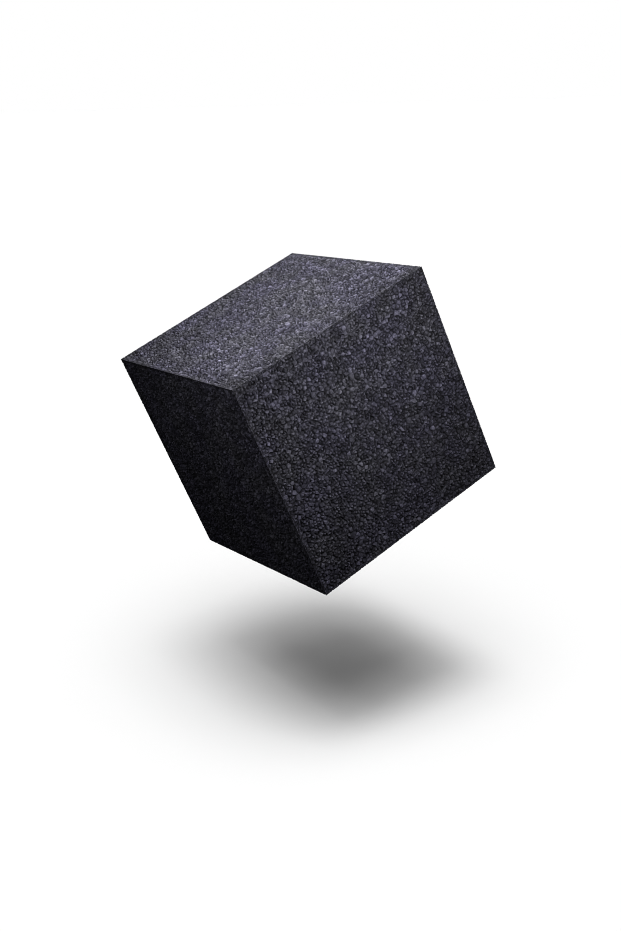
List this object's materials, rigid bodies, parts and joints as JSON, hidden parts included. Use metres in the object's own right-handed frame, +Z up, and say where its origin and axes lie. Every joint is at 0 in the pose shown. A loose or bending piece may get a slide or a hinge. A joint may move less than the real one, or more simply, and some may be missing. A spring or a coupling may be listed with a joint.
{
  "type": "charcoal block",
  "caption": "Square-edged cube of pressed black charcoal granules with a matt, granular surface; it marks or burns, and rests on any flat face.",
  "frame": {"origin": "middle of the face that the block rests on", "axes": "+Z up through the middle of the block, +X and +Y square to the side faces"},
  "size_m": [0.025, 0.025, 0.025],
  "materials": {
    "charcoal": "matt and granular: packed angular grains about half a millimetre across, near-black with a cool violet-grey tint, and darker gaps between them"
  },
  "bodies": {
    "root": {"charcoal_block": "charcoal"}
  },
  "joints": []
}
